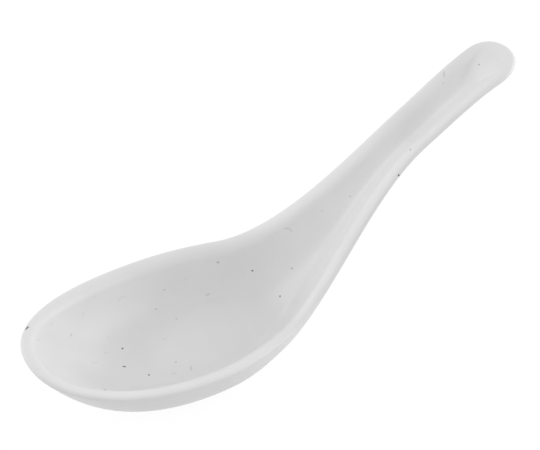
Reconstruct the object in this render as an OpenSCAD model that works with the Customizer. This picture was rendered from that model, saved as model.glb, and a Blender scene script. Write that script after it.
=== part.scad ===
// Chinese soup spoon of glazed white stoneware, standing on its foot ring.
// X runs from the tip of the bowl to the end of the handle, Y across the spoon, and Z = 0 is the table.
// The origin lies on the table, under the middle of the length. Places along the spoon count from the tip.
// Lines run from the middle of the spoon out to its rim. The same lines shape the inside and the outside.

/* [Outline seen from above] */
// Length of the clay from the bowl's tip to the handle's end, measured level
spoon_len = 133.4; // [126:0.2:146]
// Width of the bowl
bowl_w = 42.6; // [40:0.2:48]
// Distance from the tip to the widest place of the bowl
widest_x = 39.4; // [36:0.2:43]
// Distance from the tip to where the neck has become the handle
neck_x = 105.5; // [100:0.5:110]
// Width of the handle at the end of the neck
neck_w = 13; // [12:0.2:15]
// Width of the handle just before its round end
handle_w = 13.4; // [12:0.2:16]
// Length of the handle's round end
end_round = 7.4; // [6.5:0.1:9]

/* [Side view] */
// Height of the rim at the bowl's tip
tip_h = 23; // [20:0.2:25]
// Height of the rim at its lowest place
low_h = 14.4; // [13:0.2:16]
// Distance from the tip to the rim's lowest place
low_x = 60.5; // [55:0.5:64]
// Height of the rim at the end of the neck
neck_h = 47.4; // [44:0.2:51]
// Height of the rim at the handle's end
end_h = 60.2; // [56:0.2:65]
// Angle at which the rim falls away from the tip
tip_fall = 16; // [10:1:19]
// Angle at which the neck runs into the handle
neck_rise = 31; // [27:1:35]
// Angle of the handle at its end
end_rise = 0; // [-2:1:6]

/* [Clay] */
// Radius of the rim's edge on the outside
rim_out = 0.5; // [0.4:0.05:0.7]
// Radius with which the bowl's rim rolls over to the inside
rim_in = 3; // [2:0.1:3.4]
// Radius with which the handle's rim rolls over to the gutter
gutter_in = 4; // [3:0.1:5]
// Thickness of the clay under the bowl's floor
floor_t = 3; // [2.6:0.1:3.4]
// Thickness of the clay under the gutter, square to the surface
gutter_t = 2.4; // [2.2:0.1:2.8]
// Depth of the neck from rim to underside, where the handle begins
neck_t = 6.2; // [5.8:0.1:6.8]
// Depth of the handle from rim to underside at its end
end_t = 4.6; // [4.4:0.1:5.4]
// How much lower the flat thumb rest at the handle's end lies than its rim
rest_dip = 0.3; // [0.1:0.1:0.6]
// Distance from the handle's end to where the gutter begins to fade
fade_from = 11; // [9:0.5:16]
// Distance from the handle's end to where the gutter has become the flat thumb rest
fade_to = 3.5; // [2:0.5:6]

/* [Foot ring] */
// Distance from the tip to the front of the foot ring
foot_front = 26.5; // [24:0.5:30]
// Distance from the tip to the back of the foot ring
foot_back = 62; // [59:0.5:63]
// Width of the foot ring
foot_w = 22.6; // [20:0.2:23.4]
// Height of the foot ring
foot_h = 1; // [0.9:0.05:1.3]
// Breadth of the bare face that stands on the table
foot_face = 2; // [1.6:0.1:2.6]
// Depth of the recess inside the foot ring
recess_d = 0.7; // [0.6:0.05:0.8]

/* [Glaze] */
// Thickness of the fired glaze
glaze_t = 0.3; // [0.2:0.02:0.36]
// Height of the wiped band of bare clay round the foot ring
bare_h = 0.45; // [0.35:0.05:0.5]

/* [Hidden] */

// The underside stays level this far behind the foot ring, and then rises to the neck
level_behind = 2;
// Level ground under the bowl: how far it reaches past the foot ring in front, behind and at the sides
ground_front = 1;
ground_behind = 19.5;
ground_side = 1.2;
// Its widest place, and that of the floor inside, from the tip
ground_widest_x = 48;
// The floor inside the bowl stays this far within the ground under it, in front, behind and at the sides
floor_front_in = 4;
floor_back_in = 2;
floor_side_in = 2.6;
// The middle lines of the gutter and of the underside end this far from the handle's end
gutter_end = 6;
keel_end = 4.8;
// The last line that starts on the ground meets the rim this far behind the ground's end
last_line_behind = 2.5;
// The line that closes a floor stays this far from the floor's ends
seam_in = 4;
// Soft edge between the foot ring's side and its standing face
foot_edge = 0.25;
// Reach to each side over which a slope is measured
slope_reach = 0.05;

// Powers of the curves: two is an ellipse or a parabola, more is squarer or flatter in the middle
tip_power = 2.2;
end_power = 2;
flare_power = 1.5;
bowl_power = 2.25;
// How round the middles of the gutter and of the underside are, as a share of half their width
gutter_round = 0.35;
keel_round = 0.5;
// How the lines crowd towards the front of the ground, of the foot ring and of a closing line
ground_crowd = 1.3;
ring_crowd = 1.5;
seam_crowd = 1.3;

// Lines on one side of the spoon, and steps along each stretch of a line
lines = 42;
floor_steps = 5;
wall_steps = 8;
rim_steps = 4;
ground_steps = 7;
rows = 2 * (wall_steps + rim_steps);

// A leaf has a round front and a tail that runs out on the middle: [front, widest place, back, half width]
ground_leaf = [
    foot_front - ground_front, ground_widest_x, foot_back + ground_behind, foot_w / 2 + ground_side];
floor_leaf = ground_leaf + [floor_front_in, 0, -floor_back_in, -floor_side_in];
// An oval is given as [front, back, half width]
foot_oval = [foot_front, foot_back, foot_w / 2];
recess_oval = foot_oval + [foot_face, -foot_face, -foot_face];

round_x = spoon_len - end_round;
level_x = foot_back + level_behind;
round_line = 2 * lines;
last_x = ground_leaf[2] + last_line_behind;
leaf_lines = round(lines * acos(1 - 2 * last_x / spoon_len) / 180);
ring_count = 2 * leaf_lines;

function ease(t) = let (s = min(max(t, 0), 1)) s * s * (3 - 2 * s);
function mix(a, b, t) = a + (b - a) * t;

// Height at x on a smooth curve from a to b, each given as [place, height, slope]
function bend(x, a, b) =
    let (span = b[0] - a[0], t = (x - a[0]) / span)
    mix(a[1], b[1], ease(t)) + span * (a[2] * t * pow(1 - t, 2) - b[2] * pow(t, 2) * (1 - t));

// Half the width of a round front, and the share of a width that an S curve leaves of it
function front_half_w(t, half) = half * pow(1 - pow(1 - t, tip_power), 1 / tip_power);
function taper_share(t) = (1 + cos(180 * min(t, 1))) / 2;

// Half the spoon's width at x
function half_w(x) =
    x < widest_x ? front_half_w(x / widest_x, bowl_w / 2) : neck_half_w(x) * end_share(x);
function neck_half_w(x) =
    let (handle = mix(neck_w, handle_w, pow(max(x - neck_x, 0) / (round_x - neck_x), flare_power)))
    (handle + (bowl_w - neck_w) * taper_share((x - widest_x) / (neck_x - widest_x))) / 2;
function end_share(x) = pow(max(1 - pow(max(x - round_x, 0) / end_round, end_power), 0), 1 / end_power);

// Half the width of a leaf at x
function leaf_half_w(x, leaf) =
    x < leaf[1] ? front_half_w(max(x - leaf[0], 0) / (leaf[1] - leaf[0]), leaf[3])
    : leaf[3] * taper_share((x - leaf[1]) / (leaf[2] - leaf[1]));

// Height of the rim's crest at x
function rim_z(x) =
    let (tip = [0, tip_h, -tan(tip_fall)], low = [low_x, low_h, 0],
         neck = [neck_x, neck_h, tan(neck_rise)], end = [spoon_len, end_h, tan(end_rise)])
    x < low_x ? bend(x, tip, low) : x < neck_x ? bend(x, low, neck) : bend(x, neck, end);

// Height of the underside's middle at x
function keel_z(x) =
    let (level = [level_x, foot_h, 0], neck = [neck_x, neck_h - neck_t, tan(neck_rise)],
         end = [spoon_len, end_h - end_t, tan(end_rise)])
    x < level_x ? foot_h : x < neck_x ? bend(x, level, neck) : bend(x, neck, end);

// Clay and glaze keep their thickness on the slope of the neck
function slope(below, above) = (above - below) / (2 * slope_reach);
function slant(x) = norm([1, slope(keel_z(x - slope_reach), keel_z(x + slope_reach))]);
function clay_t(x) =
    mix(mix(floor_t, gutter_t, ease((x - level_x) / (neck_x - level_x))), end_t - rest_dip,
        ease((x - spoon_len + fade_from) / (fade_from - fade_to)));

// From here on, way is 1 for the outside and -1 for the inside, and coat is the glaze's thickness or zero
function ground_z(x, way, coat) = keel_z(x) + (way > 0 ? -coat : clay_t(x) + coat) * slant(x);
function leaf_of(way) = way > 0 ? ground_leaf : floor_leaf;
function middle_end(way) = spoon_len - (way > 0 ? keel_end : gutter_end);

// Points of the outline, counted from the tip round by way of the handle's end
function side_of(k) = k > lines ? -1 : 1;
function one_side(k) = k > lines ? round_line - k : k;
function line_x(k) = spoon_len * (1 - cos(180 * one_side(k) / lines)) / 2;
outline = [for (k = [0 : round_line - 1]) [line_x(k), side_of(k) * half_w(line_x(k))]];
outward = [for (k = [0 : round_line - 1])
    let (along = outline[(k + 1) % round_line] - outline[(k + round_line - 1) % round_line])
    [-along[1], along[0]] / norm(along)];

// Point of the rim on line k, where it has turned by lean from its crest
function handle_share(k) = ease((line_x(k) - low_x) / (neck_x - low_x));
function edge_r(k, way) = way > 0 ? rim_out : mix(rim_in, gutter_in, handle_share(k));
function rim_at(k, lean, way, coat) =
    let (r = edge_r(k, way) + coat, place = outline[k] + outward[k] * (way * r * sin(lean) - rim_out))
    [place[0], place[1], rim_z(line_x(k)) - edge_r(k, way) + r * cos(lean)];

// Start of line k: on the leaf, or on the middle line behind it
function start_at(k, way, coat) =
    let (grow = way * coat, leaf = leaf_of(way) + [-grow, 0, grow, grow],
         along = (line_x(k) - line_x(leaf_lines)) / (spoon_len - line_x(leaf_lines)),
         x = mix(leaf[0], leaf[2], pow(line_x(k) / line_x(leaf_lines), ground_crowd)))
    one_side(k) < leaf_lines ? [x, side_of(k) * leaf_half_w(x, leaf)]
    : [mix(leaf[2], middle_end(way) + grow, along), 0];

// Part of a wall's height at v. The bowl's walls follow a power curve, and the handle has straight flanks
function soft_of(way) = way > 0 ? keel_round : gutter_round;
function flank(v, soft) = norm([v, soft]) - soft;
function rise(v, share, way) =
    mix(pow(v, bowl_power), flank(v, soft_of(way)) / flank(1, soft_of(way)), share);

// How fast that curve rises at the rim
function steep(share, way) =
    mix(bowl_power, 1 / (flank(1, soft_of(way)) * norm([1, soft_of(way)])), share);

// How fast the ground rises under the rim's crest on line k, seen outward along the surface
function ground_rise(k, line, reach, x, way, coat) =
    let (run = outward[k][1],
         ground = slope(ground_z(x - slope_reach, way, coat), ground_z(x + slope_reach, way, coat)),
         rim = slope(rim_z(line_x(k) - slope_reach), rim_z(line_x(k) + slope_reach)))
    ground * outward[k][0] + (line * [run, -outward[k][0]]) / reach * run * (ground - rim);

// The rim turns until it runs on into the wall, found by drawing near to it a few times
function lean_of(tries, rate, lift, reach, ground, r, way) =
    tries == 0 ? (way > 0 ? 90 : 0)
    : let (last = lean_of(tries - 1, rate, lift, reach, ground, r, way),
           wall = rate * (lift - r * (1 - cos(last))) / (reach + way * r * sin(last)),
           angle = atan(max(wall + ground, 0)))
      way > 0 ? 180 - angle : angle;
function line_of(k, way, coat) =
    let (start = start_at(k, way, coat), crest = rim_at(k, 0, way, coat), share = handle_share(k),
         line = [crest[0], crest[1]] - start, reach = line * outward[k],
         ground = ground_rise(k, line, reach, crest[0], way, coat),
         lift = crest[2] - ground_z(crest[0], way, coat),
         lean = lean_of(4, steep(share, way), lift, reach, ground, edge_r(k, way) + coat, way))
    [start, rim_at(k, lean, way, coat), lean, share];

// Point of a wall on a line, where v is 0 at the line's start and 1 at the rim
function wall_at(line, v, way, coat) =
    let (start = line[0], rim = line[1], x = mix(start[0], rim[0], v))
    [x, mix(start[1], rim[1], v),
        ground_z(x, way, coat) + (rim[2] - ground_z(rim[0], way, coat)) * rise(v, line[3], way)];
function wall_row(all, step, way, coat) =
    [for (line = all) wall_at(line, sin(90 * step / wall_steps), way, coat)];

// Lines in order round a leaf or an oval
ring = [for (j = [0 : ring_count - 1]) j <= leaf_lines ? j : round_line - (ring_count - j)];
function oval_at(k, oval, grow) =
    let (turn = 180 * pow(one_side(k) / leaf_lines, ring_crowd), half_len = (oval[1] - oval[0]) / 2)
    [(oval[0] + oval[1]) / 2 - (half_len + grow) * cos(turn), side_of(k) * (oval[2] + grow) * sin(turn)];
function ring_at(inset, z) = [for (k = ring) let (p = oval_at(k, foot_oval, -inset)) [p[0], p[1], z]];
function seam_at(k, front, back) =
    [mix(front + seam_in, back - seam_in, pow(one_side(k) / leaf_lines, seam_crowd)), 0];

// Row of points on the ground between a line's start, where u is 0, and its goal, where u is 1
function ground_row(starts, goals, u, way, coat) =
    [for (j = [0 : ring_count - 1]) let (p = mix(starts[j], goals[j], u))
        [p[0], p[1], ground_z(p[0], way, coat)]];

// Skin from the middle of the floor over the rim to the glaze's edge on the foot ring
skin_count = (floor_steps + ground_steps + 1) * ring_count + (rows + 1) * round_line;
function skin_points(coat) =
    let (inside = [for (k = [0 : round_line - 1]) line_of(k, -1, coat)],
         outside = [for (k = [0 : round_line - 1]) line_of(k, 1, coat)],
         floor_edge = [for (k = ring) inside[k][0]], ground_edge = [for (k = ring) outside[k][0]],
         seam = [for (k = ring) seam_at(k, floor_leaf[0], floor_leaf[2])],
         foot = [for (k = ring) oval_at(k, foot_oval, coat)])
    concat(
        [for (i = [0 : floor_steps - 1]) each ground_row(floor_edge, seam, 1 - i / floor_steps, -1, coat)],
        [for (i = [0 : wall_steps - 1]) each wall_row(inside, i, -1, coat)],
        [for (i = [0 : rim_steps - 1], k = [0 : round_line - 1])
            rim_at(k, inside[k][2] * (1 - i / rim_steps), -1, coat)],
        [for (i = [0 : rim_steps], k = [0 : round_line - 1])
            rim_at(k, outside[k][2] * i / rim_steps, 1, coat)],
        [for (i = [1 : wall_steps]) each wall_row(outside, wall_steps - i, 1, coat)],
        [for (i = [1 : ground_steps]) each ground_row(ground_edge, foot, i / ground_steps, 1, coat)],
        ring_at(-coat, bare_h));

// Numbers of the points. The two sides share those on a middle line
first_row = floor_steps * ring_count;
first_ground = first_row + (rows + 1) * round_line;
function on_middle(row, k) = (row == 0 || row == rows) && abs(k - lines) <= lines - leaf_lines;
function row_point(row, k) =
    first_row + row * round_line + (on_middle(row, k) ? min(one_side(k), lines - 1) : k);
function row_ids(row) = [for (k = [0 : round_line - 1]) row_point(row, k)];
function leaf_ids(row) = [for (k = ring) row_point(row, k)];
function loop_ids(first) = [for (j = [0 : ring_count - 1]) first + j];
function seam_ids(first) =
    [for (j = [0 : ring_count - 1]) first + min(max(min(j, ring_count - j), 1), leaf_lines - 1)];

// Triangles between loops of as many points. Where a loop stands on one point, it gives one triangle
function band(a, b) =
    [for (j = [0 : len(a) - 1]) let (next = (j + 1) % len(a)) each concat(
        a[j] == a[next] ? [] : [[a[j], b[next], a[next]]], b[j] == b[next] ? [] : [[a[j], b[j], b[next]]])];
function bands(loops) = [for (i = [0 : len(loops) - 2]) each band(loops[i], loops[i + 1])];
function turned(faces, first) = [for (f = faces) [f[2] + first, f[1] + first, f[0] + first]];
floor_loops = concat(
    [seam_ids(0)], [for (i = [1 : floor_steps - 1]) loop_ids(i * ring_count)], [leaf_ids(0)]);
ground_loops = concat(
    [leaf_ids(rows)], [for (i = [0 : ground_steps]) loop_ids(first_ground + i * ring_count)]);
skin_faces = concat(bands(floor_loops), bands([for (row = [0 : rows]) row_ids(row)]), bands(ground_loops));

// The fired clay: bowl, neck, handle and foot ring in one piece
module clay_body() {
    foot_rings = [
        ring_at(0, foot_edge), ring_at(foot_edge, 0), ring_at(foot_face, 0), ring_at(foot_face, recess_d)];
    foot_loops = [for (i = [-1 : len(foot_rings) - 1]) loop_ids(skin_count + i * ring_count)];
    recess_loop = seam_ids(skin_count + len(foot_rings) * ring_count);
    recess_seam = [for (k = ring) concat(seam_at(k, recess_oval[0], recess_oval[1]), recess_d)];
    color("snow")
        translate([-spoon_len / 2, 0, 0])
            polyhedron(
                concat(skin_points(0), [for (points = foot_rings) each points], recess_seam),
                concat(skin_faces, bands(concat(foot_loops, [recess_loop]))));
}

// The glaze over everything but the foot ring's wiped band, in one closed skin
module glaze_coat() {
    edge = loop_ids(skin_count - ring_count);
    under_edge = loop_ids(2 * skin_count - ring_count);
    color("gainsboro")
        translate([-spoon_len / 2, 0, 0])
            polyhedron(
                concat(skin_points(glaze_t), skin_points(0)),
                concat(skin_faces, turned(skin_faces, skin_count), band(edge, under_edge)));
}

// The pool of glaze inside the foot ring
module foot_well_glaze() {
    color("gainsboro")
        translate([-spoon_len / 2, 0, recess_d - glaze_t])
            linear_extrude(glaze_t)
                polygon([for (p = ring_at(foot_face, 0)) [p[0], p[1]]]);
}

clay_body();
glaze_coat();
foot_well_glaze();
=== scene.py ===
# A Chinese soup spoon of glazed white stoneware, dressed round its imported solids.
# The clay and its two patches of glaze are fine meshes on the same curves as the solids, which they replace.
# The dark specks in the glaze lie where the photograph shows them, with more on the faces that it hides.
import math

import bmesh
import bpy
import numpy as np
from mathutils import Matrix, Vector
from mathutils.bvhtree import BVHTree


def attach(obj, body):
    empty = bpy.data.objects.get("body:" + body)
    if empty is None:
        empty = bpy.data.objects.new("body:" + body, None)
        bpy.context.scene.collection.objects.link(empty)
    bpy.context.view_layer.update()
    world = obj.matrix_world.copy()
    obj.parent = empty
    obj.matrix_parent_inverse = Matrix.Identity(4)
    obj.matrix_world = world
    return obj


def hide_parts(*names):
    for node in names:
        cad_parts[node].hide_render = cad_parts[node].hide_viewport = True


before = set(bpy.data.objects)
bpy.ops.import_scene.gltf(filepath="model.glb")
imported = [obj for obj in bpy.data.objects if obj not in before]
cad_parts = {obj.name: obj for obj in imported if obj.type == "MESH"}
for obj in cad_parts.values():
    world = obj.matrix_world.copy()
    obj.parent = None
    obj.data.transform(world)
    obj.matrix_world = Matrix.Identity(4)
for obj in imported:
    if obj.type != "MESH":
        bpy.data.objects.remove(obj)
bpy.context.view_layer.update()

# The scene is in metres. The spoon's sizes are in millimetres, and its places count from the bowl's tip.
MM = 0.001

# Outline seen from above
SPOON_LEN = 133.4
BOWL_W = 42.6
WIDEST_X = 39.4
NECK_X = 105.5
NECK_W = 13
HANDLE_W = 13.4
END_ROUND = 7.4

# Side view: heights of the rim, and the angles at which it runs
TIP_H = 23
LOW_H = 14.4
LOW_X = 60.5
NECK_H = 47.4
END_H = 60.2
TIP_FALL = math.radians(16)
NECK_RISE = math.radians(31)
END_RISE = math.radians(0)

# Clay
EDGE_OUT = 0.5
EDGE_IN = 3
HANDLE_EDGE_IN = 4
FLOOR_T = 3
GUTTER_T = 2.4
NECK_T = 6.2
END_T = 4.6
REST_DIP = 0.3
FADE_FROM = 11
FADE_TO = 3.5

# Foot ring
FOOT_FRONT = 26.5
FOOT_BACK = 62
FOOT_W = 22.6
FOOT_H = 1
FOOT_FACE = 2
FOOT_EDGE = 0.25
RECESS_D = 0.7

# Glaze, and the edge by which the pool in the foot ring clings to the clay
GLAZE_T = 0.3
BARE_H = 0.45
CLING_W = 3 * GLAZE_T
CLING_H = GLAZE_T / 2

# Level ground under the bowl and the floor in it
LEVEL_BEHIND = 2
GROUND_FRONT = 1
GROUND_BEHIND = 19.5
GROUND_SIDE = 1.2
GROUND_WIDEST_X = 48
FLOOR_FRONT_IN = 4
FLOOR_BACK_IN = 2
FLOOR_SIDE_IN = 2.6
GUTTER_END = 6
KEEL_END = 4.8
LAST_LINE_BEHIND = 2.5
SEAM_IN = 4

# Powers of the curves, how softly the handle's walls leave its middle, and how points crowd at the front
TIP_POWER = 2.2
END_POWER = 2
FLARE_POWER = 1.5
BOWL_POWER = 2.25
GUTTER_ROUND = 0.35
KEEL_ROUND = 0.5
GROUND_CROWD = 1.3
RING_CROWD = 1.5

# Lines on one side of the spoon, and steps along each stretch of a line
LINES = 150
FLOOR_STEPS = 14
WALL_STEPS = 30
RIM_STEPS = 7
GROUND_STEPS = 14
WELL_STEPS = 8
EDGE_STEPS = 4
CLING_STEPS = 4

# Over how far a slope is measured, how often the rim's lean is corrected, and how near two points are one
SLOPE_REACH = 0.05
LEAN_ROUNDS = 4
SAME_PLACE = 0.0001

GROUND_LEAF = np.array(
    [FOOT_FRONT - GROUND_FRONT, GROUND_WIDEST_X, FOOT_BACK + GROUND_BEHIND, FOOT_W / 2 + GROUND_SIDE])
FLOOR_LEAF = GROUND_LEAF + [FLOOR_FRONT_IN, 0, -FLOOR_BACK_IN, -FLOOR_SIDE_IN]
ROUND_X = SPOON_LEN - END_ROUND
LEVEL_X = FOOT_BACK + LEVEL_BEHIND
LAST_X = GROUND_LEAF[2] + LAST_LINE_BEHIND
ROUND_LINE = 2 * LINES
LEAF_LINES = round(LINES * math.acos(1 - 2 * LAST_X / SPOON_LEN) / math.pi)


def ease(t):
    s = np.clip(t, 0, 1)
    return s * s * (3 - 2 * s)


def mix(a, b, t):
    return a + (b - a) * t


def bend(x, a, b):
    """Height at x on a smooth curve from a to b, each given as place, height and slope."""
    span = b[0] - a[0]
    t = (x - a[0]) / span
    return mix(a[1], b[1], ease(t)) + span * (a[2] * t * (1 - t) ** 2 - b[2] * t ** 2 * (1 - t))


def front_half_w(t, half):
    """Half the width of a round front, where t runs from 0 at its tip to 1 at its widest place."""
    return half * (1 - (1 - np.clip(t, 0, 1)) ** TIP_POWER) ** (1 / TIP_POWER)


def taper_share(t):
    return (1 + np.cos(math.pi * np.clip(t, 0, 1))) / 2


def half_w(x):
    """Half the spoon's width at x."""
    handle = mix(NECK_W, HANDLE_W, (np.maximum(x - NECK_X, 0) / (ROUND_X - NECK_X)) ** FLARE_POWER)
    neck = (handle + (BOWL_W - NECK_W) * taper_share((x - WIDEST_X) / (NECK_X - WIDEST_X))) / 2
    end = np.maximum(1 - (np.maximum(x - ROUND_X, 0) / END_ROUND) ** END_POWER, 0) ** (1 / END_POWER)
    return np.where(x < WIDEST_X, front_half_w(x / WIDEST_X, BOWL_W / 2), neck * end)


def leaf_half_w(x, leaf):
    """Half the width of a leaf, which has a round front and a tail that runs out on the middle."""
    front, widest, back, half = leaf
    return np.where(
        x < widest, front_half_w((x - front) / (widest - front), half),
        half * taper_share((x - widest) / (back - widest)))


def rim_z(x):
    """Height of the rim's crest at x."""
    tip = (0, TIP_H, -math.tan(TIP_FALL))
    low = (LOW_X, LOW_H, 0)
    neck = (NECK_X, NECK_H, math.tan(NECK_RISE))
    end = (SPOON_LEN, END_H, math.tan(END_RISE))
    behind = np.where(x < NECK_X, bend(x, low, neck), bend(x, neck, end))
    return np.where(x < LOW_X, bend(x, tip, low), behind)


def keel_z(x):
    """Height of the clay's underside at x, on the middle line."""
    level = (LEVEL_X, FOOT_H, 0)
    neck = (NECK_X, NECK_H - NECK_T, math.tan(NECK_RISE))
    end = (SPOON_LEN, END_H - END_T, math.tan(END_RISE))
    behind = np.where(x < NECK_X, bend(x, level, neck), bend(x, neck, end))
    return np.where(x < LEVEL_X, FOOT_H, behind)


def slope_of(height, x, *more):
    """How fast a height rises at x."""
    return (height(x + SLOPE_REACH, *more) - height(x - SLOPE_REACH, *more)) / (2 * SLOPE_REACH)


def slant(x):
    """How much longer the slanting underside is than its length seen from above."""
    return np.hypot(1, slope_of(keel_z, x))


def ground_z(x, way, coat):
    """Height of the underside, where way is 1, or of the floor, where it is -1, under a coat of glaze."""
    thin = mix(FLOOR_T, GUTTER_T, ease((x - LEVEL_X) / (NECK_X - LEVEL_X)))
    clay = mix(thin, END_T - REST_DIP, ease((x - SPOON_LEN + FADE_FROM) / (FADE_FROM - FADE_TO)))
    return keel_z(x) + (-coat if way > 0 else clay + coat) * slant(x)


# Lines are counted from the tip, round by way of the handle's end and back
line_number = np.arange(ROUND_LINE)
one_side = np.where(line_number > LINES, ROUND_LINE - line_number, line_number)
side_of = np.where(line_number > LINES, -1.0, 1.0)
line_x = SPOON_LEN * (1 - np.cos(math.pi * one_side / LINES)) / 2
last_line_x = line_x[LEAF_LINES]
outline = np.stack([line_x, side_of * half_w(line_x)], 1)
along = np.roll(outline, -1, 0) - np.roll(outline, 1, 0)
rimward = along / np.linalg.norm(along, axis=1, keepdims=True)
outward = np.stack([-rimward[:, 1], rimward[:, 0]], 1)
handle_share = ease((line_x - LOW_X) / (NECK_X - LOW_X))
ring = np.concatenate([np.arange(LEAF_LINES + 1), np.arange(ROUND_LINE - LEAF_LINES + 1, ROUND_LINE)])
ring_side, ring_one_side = side_of[ring], one_side[ring]
ring_share = line_x[ring] / last_line_x


def edge_of(way):
    """Radius of the clay's rim, outside or inside."""
    return EDGE_OUT if way > 0 else mix(EDGE_IN, HANDLE_EDGE_IN, handle_share)


def rim_at(lean, way, coat):
    """Points of the rim's round edge inside or outside its crest, where it has turned by lean."""
    edge = edge_of(way)
    place = outline + outward * (way * (edge + coat) * np.sin(lean) - EDGE_OUT)[:, None]
    return np.column_stack([place, rim_z(line_x) - edge + (edge + coat) * np.cos(lean)])


def start_at(way, coat):
    """Where the lines start: on the leaf, or on the middle line behind it."""
    grow = way * coat
    leaf = (GROUND_LEAF if way > 0 else FLOOR_LEAF) + [-grow, 0, grow, grow]
    middle_end = SPOON_LEN - (KEEL_END if way > 0 else GUTTER_END) + grow
    behind = mix(leaf[2], middle_end, (line_x - last_line_x) / (SPOON_LEN - last_line_x))
    x = mix(leaf[0], leaf[2], np.minimum(line_x / last_line_x, 1) ** GROUND_CROWD)
    on_leaf = one_side < LEAF_LINES
    return np.column_stack([
        np.where(on_leaf, x, behind), np.where(on_leaf, side_of * leaf_half_w(x, leaf), 0)])


def rise(v, way):
    """Share of a wall's height at v on its way to the rim, and how fast it rises there.

    The bowl's walls follow a power curve, and the handle has straight flanks with a rounded middle.
    """
    soft = KEEL_ROUND if way > 0 else GUTTER_ROUND
    whole = math.hypot(1, soft) - soft
    height = mix(v ** BOWL_POWER, (math.hypot(v, soft) - soft) / whole, handle_share)
    return height, mix(BOWL_POWER * v ** (BOWL_POWER - 1), v / math.hypot(v, soft) / whole, handle_share)


def walls(way, coat):
    """Rows of a wall from its lines' starts to just short of the rim, and the rim's lean there."""
    start, crest = start_at(way, coat), rim_at(0 * line_x, way, coat)
    radius = edge_of(way) + coat
    lift = crest[:, 2] - ground_z(crest[:, 0], way, coat)
    reach = ((crest[:, :2] - start) * outward).sum(1)
    ground_slope = slope_of(ground_z, crest[:, 0], way, coat)
    drift = ((crest[:, :2] - start) * rimward).sum(1) / reach * rimward[:, 0]
    ground_rise = ground_slope * outward[:, 0] + drift * (ground_slope - slope_of(rim_z, line_x))
    lean = 0 * line_x + (math.pi / 2 if way > 0 else 0)
    for _ in range(LEAN_ROUNDS):  # the rim turns until it runs on into the wall
        wall_lift = lift - radius * (1 - np.cos(lean))
        wall_rise = rise(1, way)[1] * wall_lift / (reach + way * radius * np.sin(lean))
        slope = np.arctan(np.maximum(wall_rise + ground_rise, 0))
        lean = math.pi - slope if way > 0 else slope
    rim = rim_at(lean, way, coat)
    lift = rim[:, 2] - ground_z(rim[:, 0], way, coat)
    rows = []
    for step in range(WALL_STEPS):
        v = math.sin(math.pi / 2 * step / WALL_STEPS)
        place = mix(start, rim[:, :2], v)
        rows.append(np.column_stack([place, ground_z(place[:, 0], way, coat) + lift * rise(v, way)[0]]))
    return rows, lean


def foot_ring(inset, height):
    """Row of points on the foot's oval, drawn in by inset."""
    turn = math.pi * (ring_one_side / LEAF_LINES) ** RING_CROWD
    half_len = (FOOT_BACK - FOOT_FRONT) / 2
    return np.column_stack([
        (FOOT_BACK + FOOT_FRONT) / 2 - (half_len - inset) * np.cos(turn),
        ring_side * (FOOT_W / 2 - inset) * np.sin(turn), height + 0 * turn])


def seam(front, back, height, crowd):
    """Row of points on the middle line, where the two sides of a floor meet."""
    x = mix(front + SEAM_IN, back, ring_share ** crowd)
    return np.column_stack([x, 0 * x, height + 0 * x])


def well_seam(height):
    """Row of points on the middle line inside the foot ring."""
    return seam(FOOT_FRONT + FOOT_FACE, FOOT_BACK - FOOT_FACE - SEAM_IN, height, RING_CROWD)


def between(first, last, steps):
    """Rows after first, up to last."""
    return [mix(first, last, step / steps) for step in range(1, steps + 1)]


def on_ground(rows, way, coat):
    """The rows, moved up or down onto the underside or the floor."""
    return [np.column_stack([row[:, :2], ground_z(row[:, 0], way, coat)]) for row in rows]


def skin(coat):
    """The spoon's surface as stretches of rows, from the middle of the floor over the rim to the foot."""
    inside, inner_lean = walls(-1, coat)
    outside, outer_lean = walls(1, coat)
    floor_seam = seam(FLOOR_LEAF[0], FLOOR_LEAF[2] - coat, 0, GROUND_CROWD)
    floor = [floor_seam] + between(floor_seam, inside[0][ring], FLOOR_STEPS)
    shares = np.arange(RIM_STEPS + 1) / RIM_STEPS
    rim = [rim_at(inner_lean * share, -1, coat) for share in shares[::-1]]
    rim += [rim_at(outer_lean * share, 1, coat) for share in shares[1:]]
    ground = between(outside[0][ring], foot_ring(-coat, 0), GROUND_STEPS)
    return [
        on_ground(floor, -1, coat), inside + rim + outside[::-1],
        [outside[0][ring]] + on_ground(ground, 1, coat)]


def solid(name, stretches):
    """A closed mesh of quads between the rows of each stretch, where points that coincide become one."""
    bm = bmesh.new()
    for rows in stretches:
        rings = []
        for row in rows:
            places = (row - [SPOON_LEN / 2, 0, 0]) * MM
            rings.append([bm.verts.new(place) for place in places])
        for a, b in zip(rings, rings[1:]):
            for i in range(len(a)):
                bm.faces.new((a[i - 1], b[i - 1], b[i], a[i]))
    bmesh.ops.remove_doubles(bm, verts=bm.verts, dist=SAME_PLACE * MM)
    bmesh.ops.recalc_face_normals(bm, faces=bm.faces)
    for face in bm.faces:
        face.smooth = True
    mesh = bpy.data.meshes.new(name)
    bm.to_mesh(mesh)
    bm.free()
    piece = bpy.data.objects.new(name, mesh)
    bpy.context.scene.collection.objects.link(piece)
    return piece


def clay_body():
    """The fired clay, which shows only as the foot ring's wiped face."""
    side = [foot_ring(0, FOOT_H), foot_ring(0, BARE_H), foot_ring(0, FOOT_EDGE)]
    face = [foot_ring(FOOT_EDGE, 0), foot_ring(FOOT_FACE - FOOT_EDGE, 0)]
    recess = [foot_ring(FOOT_FACE, FOOT_EDGE), foot_ring(FOOT_FACE, RECESS_D)]
    well = between(recess[-1], well_seam(RECESS_D), WELL_STEPS)
    return solid("clay_body_fired", skin(0) + [side + face + recess + well])


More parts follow.
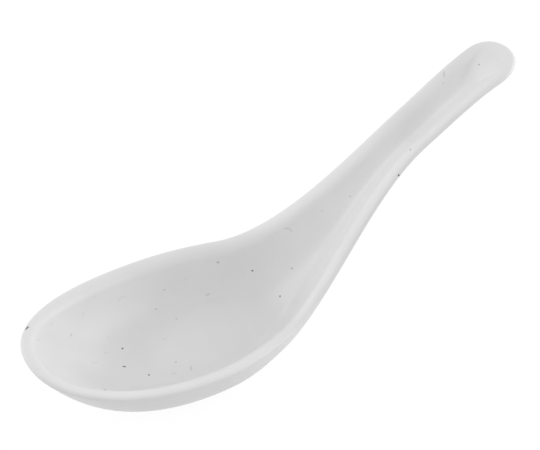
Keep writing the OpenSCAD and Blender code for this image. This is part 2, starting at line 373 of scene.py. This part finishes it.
def glaze_coat():
    """The glaze, with a rounded edge where it was wiped from the foot ring."""
    under, over = skin(0), skin(GLAZE_T)
    level = FOOT_H - GLAZE_T
    edge = []
    for step in range(EDGE_STEPS + 1):
        turn = math.pi / 2 * step / EDGE_STEPS
        edge.append(foot_ring(-GLAZE_T * math.cos(turn), level - (level - BARE_H) * math.sin(turn)))
    lip = [edge[-1], foot_ring(0, FOOT_H)]
    return solid("white_glaze_coat", over + under + [edge, lip])


def well_glaze():
    """The pool of glaze inside the foot ring, which thickens where it clings to the ring."""
    level = RECESS_D - GLAZE_T
    top = [well_seam(RECESS_D)]
    top += between(top[0], foot_ring(FOOT_FACE, RECESS_D), WELL_STEPS)
    cling = []
    for step in range(CLING_STEPS + 1):
        height = level - CLING_H * (1 - step / CLING_STEPS) ** 2
        cling.append(foot_ring(FOOT_FACE + CLING_W * step / CLING_STEPS, height))
    return solid("foot_well_pool", [top + cling + between(cling[-1], well_seam(level), WELL_STEPS)])


def feed(tree, node, inputs):
    """Gives a node its inputs, which are values or the sockets that they come from."""
    for key, value in inputs.items():
        if isinstance(value, bpy.types.NodeSocket):
            tree.links.new(value, node.inputs[key])
        else:
            node.inputs[key].default_value = value


def add(tree, kind, inputs, **settings):
    """Adds a node with its settings and inputs."""
    node = tree.nodes.new(kind)
    for name, value in settings.items():
        setattr(node, name, value)
    feed(tree, node, inputs)
    return node


def add_math(tree, operation, a, b):
    return add(tree, "ShaderNodeMath", {0: a, 1: b}, operation=operation).outputs[0]


def add_vector_math(tree, operation, inputs, output="Vector"):
    return add(tree, "ShaderNodeVectorMath", inputs, operation=operation).outputs[output]


def add_noise(tree, place, scale, detail, output="Fac"):
    noise = add(tree, "ShaderNodeTexNoise", {"Vector": place, "Scale": scale, "Detail": detail})
    return noise.outputs[output]


def new_material(name):
    material = bpy.data.materials.new(name)
    material.use_nodes = True
    tree = material.node_tree
    place = add(tree, "ShaderNodeTexCoord", {}).outputs["Object"]
    return material, tree, tree.nodes["Principled BSDF"], place


# The camera of the photograph, which is 540 pixels wide and 450 high. It looks at a point above the origin.
PHOTO_W, PHOTO_H = 540, 450
AZIMUTH, ELEVATION = math.radians(-30.5), math.radians(47.62)
DISTANCE = 480 * MM
TARGET = Vector((-1.01, 0, 34.58)) * MM
FOCAL_PX = 1990

# The width of its sensor in millimetres, and the nearest and farthest places that it sees in metres
SENSOR_W = 36
CLIP_NEAR, CLIP_FAR = 0.01, 20

back = Vector((
    math.sin(AZIMUTH) * math.cos(ELEVATION), -math.cos(AZIMUTH) * math.cos(ELEVATION), math.sin(ELEVATION)))
right = Vector((math.cos(AZIMUTH), math.sin(AZIMUTH), 0))
up = back.cross(right)


def make_camera():
    data = bpy.data.cameras.new("camera")
    data.sensor_width = SENSOR_W
    data.lens = SENSOR_W * FOCAL_PX / PHOTO_W
    data.clip_start, data.clip_end = CLIP_NEAR, CLIP_FAR
    camera = bpy.data.objects.new("camera", data)
    camera.matrix_world = Matrix.Translation(TARGET + back * DISTANCE) @ Matrix(
        (right, up, back)).transposed().to_4x4()
    bpy.context.scene.collection.objects.link(camera)
    bpy.context.scene.camera = camera


def sight(pixel):
    """Direction from the camera through a pixel of the photograph."""
    u, v = pixel
    return (right * (u - PHOTO_W / 2) - up * (v - PHOTO_H / 2) - back * FOCAL_PX).normalized()


# Dark iron specks in the glaze, by their pixels in the photograph. A long one is given by its two ends.
BOLD_SPECKS_PX = [
    [(26, 329), (28, 327)], [(122.5, 348.5)], [(123.5, 366.5), (125, 366.7)], [(149, 375)], [(252.4, 270.7)],
    [(280, 296.3)], [(398.8, 175.2)]]
CLEAR_SPECKS_PX = [[(479, 64.5)], [(410.5, 149.6)], [(104, 389.3), (106, 389.5)]]
FINE_SPECKS_PX = [
    [(176, 362)], [(217, 262.4), (218.5, 262.4)], [(291.5, 268.2), (292.5, 268.8)], [(156, 309)],
    [(350.2, 196.3)], [(177, 405)]]
SOFT_SPECKS_PX = [
    [(163.5, 290), (165, 290)], [(206.5, 295), (209, 294)], [(176, 318.4), (177.2, 319)],
    [(71, 336), (71.5, 334)], [(322.3, 210.8)], [(443, 83)], [(285.5, 228.5), (288, 228.5)],
    [(290, 229), (291.5, 231)], [(444, 72), (444, 76)], [(257, 349.5)], [(191, 366.5), (191, 369.5)]]
FAINT_SPECKS_PX = [
    [(119, 300), (121, 297.5), (124, 297)], [(51.5, 324.5)], [(83.5, 312.5), (83.5, 314.5)],
    [(171.5, 373.3), (176, 373.7)], [(197.5, 374)], [(163, 339), (166, 339)], [(109, 337)],
    [(104.5, 352.7), (107.5, 352.3)], [(92, 362.5), (96.5, 362.7)], [(94, 297)], [(37, 340), (40, 340)],
    [(38, 369.5)], [(186, 279.3)]]

# Specks on the outer faces that the photograph doesn't show, of the same kinds. Each has its place along the
# spoon and the degrees by which it lies below the far side, seen round the spoon's middle.
BOLD_SPECKS_BEHIND = [(47, -9), (88, 40), (19, 118)]
CLEAR_SPECKS_BEHIND = [(73, 2), (118, 96)]
FINE_SPECKS_BEHIND = [(28, -4), (56, 12), (99, 20)]
SOFT_SPECKS_BEHIND = [(14, 18), (36, 6), (66, -12), (82, 48), (109, 62)]
FAINT_SPECKS_BEHIND = [(21, -14), (51, 3), (60, -5), (74, 104), (93, 10), (125, 71)]

# Half the width of each kind of speck, and how dark it is
SPECK_KINDS = [
    (BOLD_SPECKS_PX, BOLD_SPECKS_BEHIND, 0.25 * MM, 0.9),
    (CLEAR_SPECKS_PX, CLEAR_SPECKS_BEHIND, 0.2 * MM, 0.7),
    (FINE_SPECKS_PX, FINE_SPECKS_BEHIND, 0.24 * MM, 0.35),
    (SOFT_SPECKS_PX, SOFT_SPECKS_BEHIND, 0.26 * MM, 0.17),
    (FAINT_SPECKS_PX, FAINT_SPECKS_BEHIND, 0.3 * MM, 0.07)]

# A place well outside the spoon, and shares of a speck's half width: the length below which it is a dot, and
# where its edge starts to fade and ends
OUTSIDE = 100 * MM
DOT_SHARE, FADE_START_SHARE, FADE_END_SHARE = 0.1, 0.5, 1.3


def specks_on(piece):
    """The specks as strokes on the surface: [first end, last end, half width, darkness]."""
    bm = bmesh.new()
    bm.from_mesh(piece.data)
    surface = BVHTree.FromBMesh(bm)
    eye = TARGET + back * DISTANCE
    strokes = []
    for specks, behind, half, dark in SPECK_KINDS:
        for pixels in specks:
            places = [surface.ray_cast(eye, sight(pixel))[0] for pixel in pixels]
            places = [place for place in places if place]
            for a, b in zip(places, places[1:] or places):
                strokes.append((a, b, half, dark))
        for x, below in behind:
            middle = Vector((x - SPOON_LEN / 2, 0, (keel_z(x) + rim_z(x)) / 2)) * MM
            away = Vector((0, math.cos(math.radians(below)), -math.sin(math.radians(below))))
            place = surface.ray_cast(middle + away * OUTSIDE, -away)[0]
            strokes.append((place, place, half, dark))
    bm.free()
    return strokes


def stroke_mask(tree, place, stroke):
    """How much of a speck's darkness lies on a point of the surface."""
    a, b, half, dark = stroke
    nearest = a
    span = b - a
    if span.length > DOT_SHARE * half:
        from_a = add_vector_math(tree, "SUBTRACT", {0: place, 1: a})
        share = add_vector_math(tree, "DOT_PRODUCT", {0: from_a, 1: span / span.length_squared}, "Value")
        share = add(tree, "ShaderNodeClamp", {"Value": share}).outputs[0]
        reach = add_vector_math(tree, "SCALE", {0: span, "Scale": share})
        nearest = add_vector_math(tree, "ADD", {0: reach, 1: a})
    away = add_vector_math(tree, "DISTANCE", {0: place, 1: nearest}, "Value")
    return add(tree, "ShaderNodeMapRange", {
        "Value": away, "From Min": FADE_END_SHARE * half, "From Max": FADE_START_SHARE * half,
        "To Min": 0, "To Max": dark}, interpolation_type="SMOOTHSTEP").outputs[0]


# Noise lies mostly between the low and the high value. Scales count its waves in a metre.
NOISE_LOW, NOISE_MIDDLE, NOISE_HIGH = 0.3, 0.5, 0.7

# Glaze: its white, the specks' dark and its roughness, and the noise that clouds it and frays the specks
WHITE_LOW, WHITE_HIGH = 0.775, 0.8
IRON = (0.06, 0.055, 0.05, 1)
GLAZE_ROUGHNESS_LOW, GLAZE_ROUGHNESS_HIGH = 0.285, 0.33
GLAZE_IOR = 1.5
CLOUD_SCALE, CLOUD_DETAIL = 90, 3
FRAY_SCALE, FRAY_DETAIL, FRAY_REACH = 2500, 2, 0.3 * MM

# Its fine bumps and its broad ones
PEEL_SCALE, PEEL_DETAIL, PEEL_STRENGTH, PEEL_H = 420, 2, 0.25, 0.02 * MM
RIPPLE_SCALE, RIPPLE_DETAIL, RIPPLE_STRENGTH, RIPPLE_H = 110, 1, 0.5, 0.08 * MM

# Clay: its grain and its bumps, its darkest and palest colour, and its roughness
GRAIN_SCALE, GRAIN_DETAIL, GRAIN_STRENGTH, GRAIN_H = 1800, 4, 0.6, 0.05 * MM
CLAY_DARK, CLAY_PALE = (0.56, 0.51, 0.43, 1), (0.7, 0.66, 0.58, 1)
CLAY_ROUGHNESS = 0.85

# Sockets of a mix node that mixes colours
MIX_A, MIX_B, MIX_RESULT = 6, 7, 2


def spread(tree, noise, low, high):
    """Stretches noise to run from low to high."""
    return add(tree, "ShaderNodeMapRange", {
        "Value": noise, "From Min": NOISE_LOW, "From Max": NOISE_HIGH,
        "To Min": low, "To Max": high}).outputs[0]


def glaze_material(strokes):
    material, tree, shader, place = new_material("white_glaze")
    fray = add_noise(tree, place, FRAY_SCALE, FRAY_DETAIL, "Color")
    shift = add_vector_math(tree, "SUBTRACT", {0: fray, 1: [NOISE_MIDDLE] * 3})
    shift = add_vector_math(tree, "SCALE", {0: shift, "Scale": FRAY_REACH})
    frayed = add_vector_math(tree, "ADD", {0: place, 1: shift})
    mask = 0
    for stroke in strokes:
        mask = add_math(tree, "MAXIMUM", mask, stroke_mask(tree, frayed, stroke))
    cloud = add_noise(tree, place, CLOUD_SCALE, CLOUD_DETAIL)
    white = spread(tree, cloud, WHITE_LOW, WHITE_HIGH)
    tint = add(tree, "ShaderNodeCombineColor", {"Red": white, "Green": white, "Blue": white}).outputs[0]
    colour = add(tree, "ShaderNodeMix", {"Factor": mask, MIX_A: tint, MIX_B: IRON}, data_type="RGBA")
    peel = add_noise(tree, place, PEEL_SCALE, PEEL_DETAIL)
    ripple = add_noise(tree, place, RIPPLE_SCALE, RIPPLE_DETAIL)
    fine = add(tree, "ShaderNodeBump", {"Height": peel, "Strength": PEEL_STRENGTH, "Distance": PEEL_H})
    broad = add(tree, "ShaderNodeBump", {
        "Height": ripple, "Strength": RIPPLE_STRENGTH, "Distance": RIPPLE_H, "Normal": fine.outputs[0]})
    feed(tree, shader, {
        "Base Color": colour.outputs[MIX_RESULT], "Normal": broad.outputs[0], "IOR": GLAZE_IOR,
        "Roughness": spread(tree, cloud, GLAZE_ROUGHNESS_LOW, GLAZE_ROUGHNESS_HIGH)})
    return material


def clay_material():
    material, tree, shader, place = new_material("fired_clay")
    grain = add_noise(tree, place, GRAIN_SCALE, GRAIN_DETAIL)
    colour = add(tree, "ShaderNodeValToRGB", {"Fac": grain})
    dark, pale = colour.color_ramp.elements
    dark.position, dark.color = NOISE_LOW, CLAY_DARK
    pale.position, pale.color = NOISE_HIGH, CLAY_PALE
    bump = add(tree, "ShaderNodeBump", {"Height": grain, "Strength": GRAIN_STRENGTH, "Distance": GRAIN_H})
    feed(tree, shader, {
        "Base Color": colour.outputs[0], "Normal": bump.outputs[0], "Roughness": CLAY_ROUGHNESS})
    return material


def dress(piece, material, node):
    """Gives a piece its material and its place in the frame."""
    piece.data.materials.append(material)
    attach(piece, "root")
    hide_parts(node)


# Soft lamps: name, direction from the spoon in degrees round from +X and up, then distance, width and height
# in metres, and power in watts
LAMPS = [
    ("back_left", 135, 22, 0.9, 1.2, 0.7, 2.25),
    ("right", 0, 16, 0.9, 1.1, 0.5, 1.32),
    ("front_right", -30, 16, 0.45, 0.5, 0.24, 0.44)]

# Strength of the light from all round, then the floor's size in metres, its colour and roughness, its own
# white light, and how much of that the camera sees
WORLD_LIGHT = 0.76
FLOOR_SIZE = 6
FLOOR_COLOUR = (0.65, 0.65, 0.65, 1)
FLOOR_ROUGHNESS = 0.9
FLOOR_WHITE = 1.1
FLOOR_WHITE_SHARE = 0.85


def lamp(name, azimuth, elevation, distance, width, height, power):
    round_z, rise_z = math.radians(azimuth), math.radians(elevation)
    direction = Vector((
        math.cos(round_z) * math.cos(rise_z), math.sin(round_z) * math.cos(rise_z), math.sin(rise_z)))
    data = bpy.data.lights.new(name, "AREA")
    data.shape = "RECTANGLE"
    data.size, data.size_y, data.energy = width, height, power
    light = bpy.data.objects.new(name, data)
    light.location = TARGET + direction * distance
    light.rotation_euler = direction.to_track_quat("Z", "Y").to_euler()
    bpy.context.scene.collection.objects.link(light)


def background_rays(tree):
    """1 for rays from the camera, or from a glossy or clear surface, that meet the background."""
    path = add(tree, "ShaderNodeLightPath", {}).outputs
    seen = add_math(tree, "MAXIMUM", path["Is Camera Ray"], path["Is Glossy Ray"])
    return add_math(tree, "MAXIMUM", seen, path["Is Transmission Ray"])


def make_floor():
    """A pale floor that looks white to the camera and keeps the spoon's soft shadow."""
    bpy.ops.mesh.primitive_plane_add(size=FLOOR_SIZE)
    floor = bpy.context.object
    floor.name = "floor"
    material, tree, shader, _ = new_material("pale_floor")
    feed(tree, shader, {"Base Color": FLOOR_COLOUR, "Roughness": FLOOR_ROUGHNESS})
    white = add(tree, "ShaderNodeEmission", {"Strength": FLOOR_WHITE})
    seen = add_math(tree, "MULTIPLY", background_rays(tree), FLOOR_WHITE_SHARE)
    mixed = add(tree, "ShaderNodeMixShader", {0: seen, 1: shader.outputs[0], 2: white.outputs[0]})
    feed(tree, tree.nodes["Material Output"], {"Surface": mixed.outputs[0]})
    floor.data.materials.append(material)


def make_world():
    world = bpy.data.worlds.new("studio")
    bpy.context.scene.world = world
    world.use_nodes = True
    tree = world.node_tree
    strength = add(tree, "ShaderNodeMapRange", {
        "Value": background_rays(tree), "To Min": WORLD_LIGHT, "To Max": 1}).outputs[0]
    feed(tree, tree.nodes["Background"], {"Strength": strength, "Color": (1, 1, 1, 1)})


make_camera()
make_world()
make_floor()
for settings in LAMPS:
    lamp(*settings)

coat = glaze_coat()
white_glaze = glaze_material(specks_on(coat))
dress(coat, white_glaze, "glaze_coat")
dress(well_glaze(), white_glaze, "foot_well_glaze")
dress(clay_body(), clay_material(), "clay_body")

bpy.context.scene.view_settings.view_transform = "Standard"
